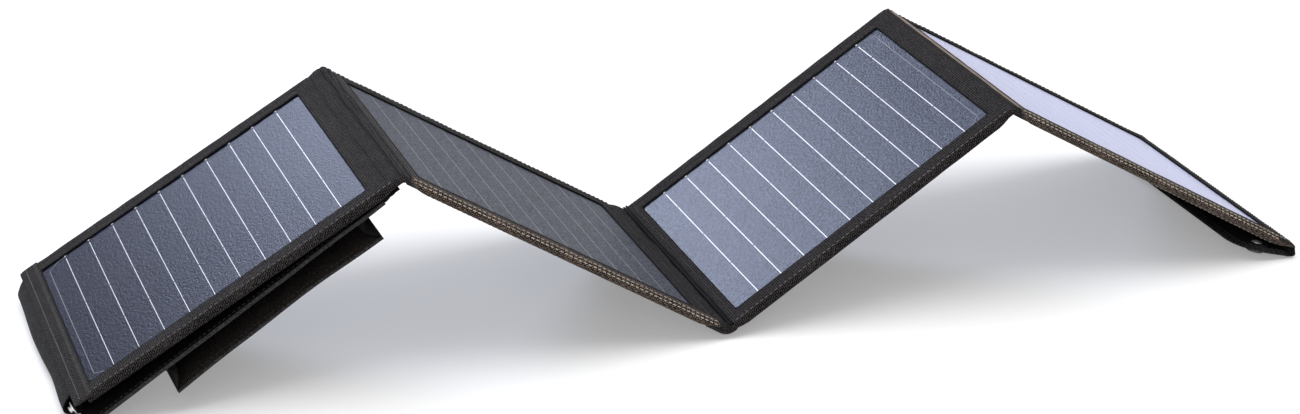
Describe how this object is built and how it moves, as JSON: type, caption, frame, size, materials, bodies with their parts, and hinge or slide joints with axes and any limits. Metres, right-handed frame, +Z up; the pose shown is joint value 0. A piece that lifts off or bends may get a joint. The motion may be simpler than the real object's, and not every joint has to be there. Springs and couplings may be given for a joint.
{
  "type": "folding solar phone charger",
  "caption": "Folding fabric solar charger: square solar panels hinged by fabric folds into a zigzag strip, with a gusseted pocket and pouch behind the first panel and a snap flap at the end.",
  "frame": {"origin": "middle of the bounding box's bottom face, on the surface the zigzag stands on", "axes": "+X along the strip from the pocket end to the flap end, +Y along the fold lines to the far side, +Z up"},
  "size_m": [0.5306, 0.158, 0.0884],
  "materials": {
    "woven_fabric": "matt woven polyester",
    "hem_tape": "matt woven tape",
    "solar_laminate": "satin clear film over blue-black cells",
    "stiffener": "matt board",
    "lead_copper": "tinned copper ribbon in film",
    "black_plastic": "fine matt moulding",
    "bright_metal": "bright plated",
    "circuit_board": "green solder mask",
    "light_lens": "clear green",
    "grey_piping": "grey cord piping"
  },
  "bodies": {
    "panel_1": {"front_cover_1": "woven_fabric", "solar_laminate_1": "solar_laminate", "stiffener_board_1": "stiffener", "back_cover_1": "woven_fabric", "near_hem_1": "hem_tape", "far_hem_1": "hem_tape", "terminal_cap_1": "black_plastic", "end_hem_1": "hem_tape", "spine_12_left": "woven_fabric", "pocket_side_gusset": "woven_fabric", "pocket_far_gusset": "woven_fabric", "snap_stud_near": "bright_metal", "snap_stud_far": "bright_metal"},
    "panel_2": {"front_cover_2": "woven_fabric", "solar_laminate_2": "solar_laminate", "stiffener_board_2": "stiffener", "back_cover_2": "woven_fabric", "near_hem_2": "hem_tape", "far_hem_2": "hem_tape", "terminal_cap_2": "black_plastic", "spine_12_right": "woven_fabric", "spine_23_left": "woven_fabric", "lead_12": "lead_copper"},
    "panel_3": {"front_cover_3": "woven_fabric", "solar_laminate_3": "solar_laminate", "stiffener_board_3": "stiffener", "back_cover_3": "woven_fabric", "near_hem_3": "hem_tape", "far_hem_3": "hem_tape", "terminal_cap_3": "black_plastic", "spine_23_right": "woven_fabric", "spine_34_left": "woven_fabric", "lead_23": "lead_copper"},
    "panel_4": {"front_cover_4": "woven_fabric", "solar_laminate_4": "solar_laminate", "stiffener_board_4": "stiffener", "back_cover_4": "woven_fabric", "near_hem_4": "hem_tape", "far_hem_4": "hem_tape", "terminal_cap_4": "black_plastic", "spine_34_right": "woven_fabric", "end_hem_4": "hem_tape", "lead_34": "lead_copper"},
    "flap": {"closing_flap": "woven_fabric", "snap_fastener_near": "bright_metal", "snap_fastener_far": "bright_metal"},
    "pocket": {"pocket_panel": "woven_fabric", "pocket_piping": "grey_piping", "pouch_panel": "woven_fabric", "pouch_left_gusset": "woven_fabric", "pouch_right_gusset": "woven_fabric", "pouch_far_gusset": "woven_fabric", "controller_lid": "black_plastic", "controller_tray": "black_plastic", "controller_board": "circuit_board", "usb_socket_1": "bright_metal", "usb_socket_2": "bright_metal", "status_lens": "light_lens"}
  },
  "joints": [
    {"name": "fold_12", "type": "hinge", "parent": "panel_1", "child": "panel_2", "pos_m": [-0.12618, 0, 0.08939], "axis": [0, -1, 0], "range_deg": [-24, 241.5], "deforming": ["lead_12"]},
    {"name": "fold_23", "type": "hinge", "parent": "panel_2", "child": "panel_3", "pos_m": [0.00719, 0, -0.00093], "axis": [0, 1, 0], "range_deg": [-24.39, 244.5], "deforming": ["lead_23"]},
    {"name": "fold_34", "type": "hinge", "parent": "panel_3", "child": "panel_4", "pos_m": [0.13495, 0, 0.0852], "axis": [0, -1, 0], "range_deg": [-24.29, 243.43], "deforming": ["lead_34"]},
    {"name": "flap_fold", "type": "hinge", "parent": "panel_4", "child": "flap", "pos_m": [0.26416, 0, 0.00033], "axis": [0, -1, 0], "range_deg": [-6, 235]},
    {"name": "pocket_open", "type": "hinge", "parent": "panel_1", "child": "pocket", "pos_m": [-0.13508, 0, 0.07868], "axis": [0, -1, 0], "range_deg": [0, 6], "deforming": ["pocket_side_gusset", "pocket_far_gusset"]}
  ],
  "couplings": [
    {"joint": "fold_23", "follows": "fold_12", "ratio": 1.0122},
    {"joint": "fold_34", "follows": "fold_12", "ratio": 1.0078}
  ]
}
